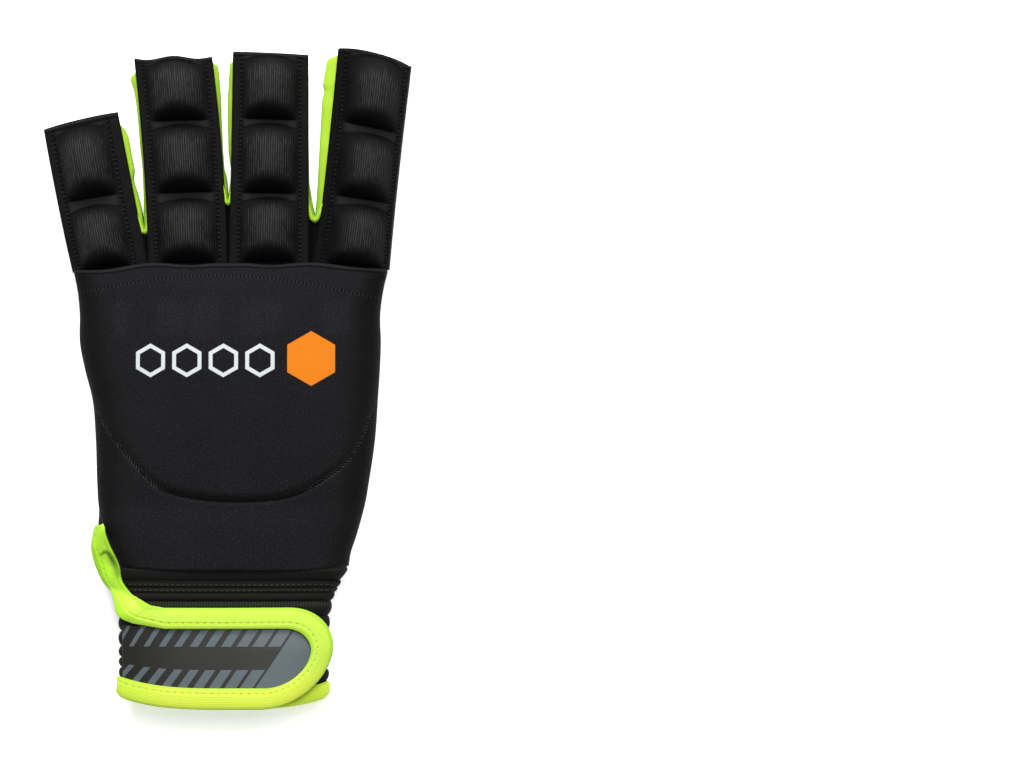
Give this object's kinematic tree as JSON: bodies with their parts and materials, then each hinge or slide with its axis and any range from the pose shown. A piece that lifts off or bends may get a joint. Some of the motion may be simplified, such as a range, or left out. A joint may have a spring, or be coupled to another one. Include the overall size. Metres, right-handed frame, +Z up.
{
  "type": "field hockey glove",
  "caption": "Left-hand half-finger protective glove with foam blocks on the finger backs, a round thumb opening in the palm and a ribbed cuff with a wrap-over wrist strap.",
  "frame": {"origin": "on the surface the glove rests on, under the middle of its outline", "axes": "+Y points to the fingertips, +X to the index finger side, +Z up, away from the palm"},
  "size_m": [0.1178, 0.211, 0.0272],
  "materials": {
    "palm_print_fabric": "matte knit with a raised silver-grey honeycomb print",
    "band_fabric": "smooth matte fabric",
    "padded_back_fabric": "fine matte jersey over foam",
    "black_knit": "fine vertical-wale knit over foam",
    "lime_stretch": "smooth stretch fabric",
    "ribbed_knit": "matte ribbed knit",
    "lime_binding": "folded stretch binding with a stitch line",
    "strap_rubber": "satin moulded rubber with slanted stripes"
  },
  "bodies": {
    "root": {"palm_panel": "palm_print_fabric", "thumb_opening_band": "band_fabric", "back_panel": "padded_back_fabric", "knuckle_base": "black_knit", "finger_strip_pinky": "black_knit", "finger_strip_ring": "black_knit", "finger_strip_middle": "black_knit", "finger_strip_index": "black_knit", "gusset_pinky_ring": "lime_stretch", "gusset_ring_middle": "lime_stretch", "gusset_middle_index": "lime_stretch", "wrist_cuff": "ribbed_knit", "cuff_hem": "lime_binding", "wrist_strap": "band_fabric", "strap_patch": "strap_rubber", "strap_binding": "lime_binding"}
  },
  "joints": []
}
